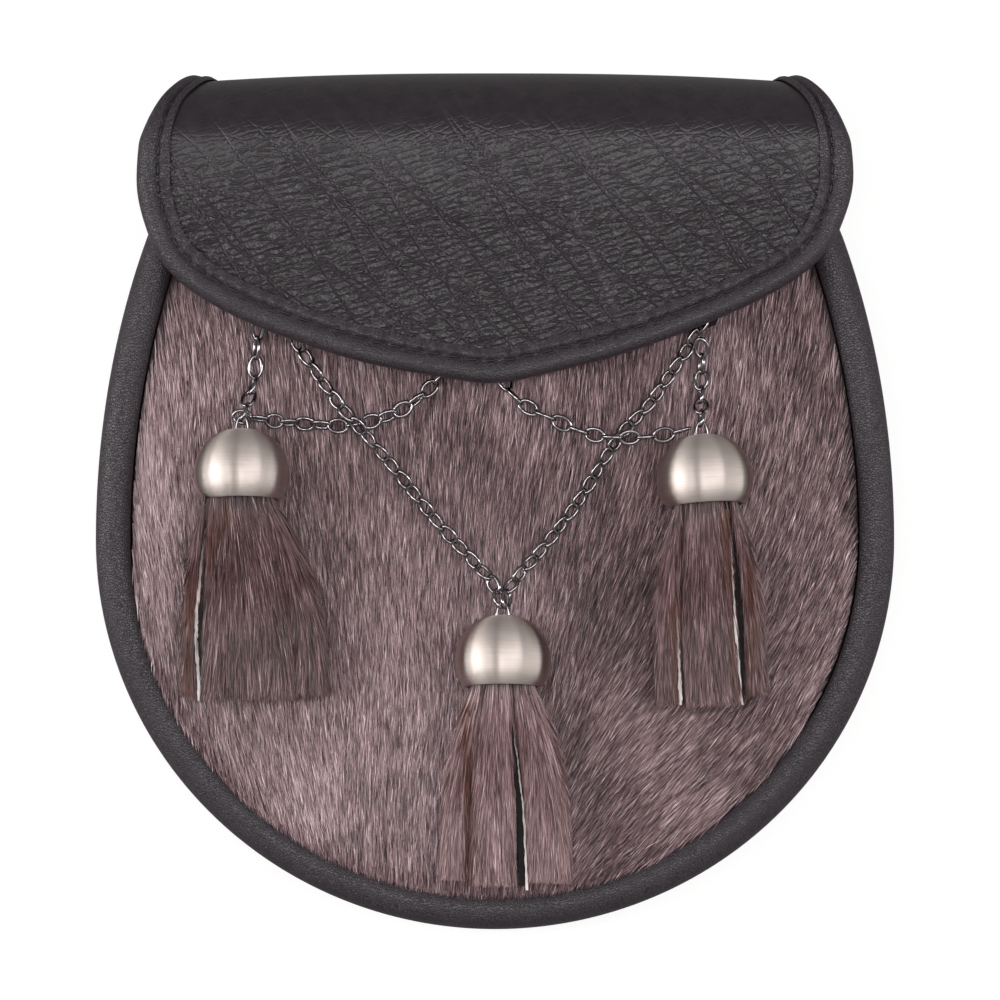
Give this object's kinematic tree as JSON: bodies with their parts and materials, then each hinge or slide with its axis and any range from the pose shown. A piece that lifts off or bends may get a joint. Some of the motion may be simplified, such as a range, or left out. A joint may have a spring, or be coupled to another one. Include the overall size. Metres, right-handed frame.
{
  "type": "sporran pouch",
  "caption": "Rounded fur-front sporran pouch with a rolled leather rim, a bound leather flap, and bell-capped fur tassels hung on fine link chains.",
  "frame": {"origin": "middle of the bounding box on the floor that the pouch lies on, which is the plane of the back panel's belly", "axes": "+Z out of the fur front, +Y from the rounded bottom to the mouth and the flap, +X to the right as the front is seen"},
  "size_m": [0.1798, 0.1932, 0.0622],
  "materials": {
    "black_leather": "fine-grained, soft sheen",
    "grey_brown_fur": "short combed hair",
    "brown_fur": "short combed hair, cut strips",
    "brushed_pewter": "brushed",
    "dark_nickel": "polished wire, slightly dulled"
  },
  "bodies": {
    "root": {"back_panel": "black_leather", "gusset": "black_leather", "rim_binding": "black_leather", "fur_panel": "grey_brown_fur", "flap": "black_leather", "flap_binding": "black_leather", "closing_stud": "dark_nickel", "strap_loop_left": "black_leather", "strap_loop_right": "black_leather", "chain_anchor_left": "dark_nickel", "chain_anchor_center": "dark_nickel", "chain_anchor_right": "dark_nickel", "bell_left": "brushed_pewter", "bell_center": "brushed_pewter", "bell_right": "brushed_pewter", "tassel_left": "brown_fur", "tassel_center": "brown_fur", "tassel_right": "brown_fur", "long_chain_left": "dark_nickel", "long_chain_right": "dark_nickel", "drop_chain_left": "dark_nickel", "drop_chain_right": "dark_nickel", "swag_chain_left": "dark_nickel", "swag_chain_right": "dark_nickel"}
  },
  "joints": []
}
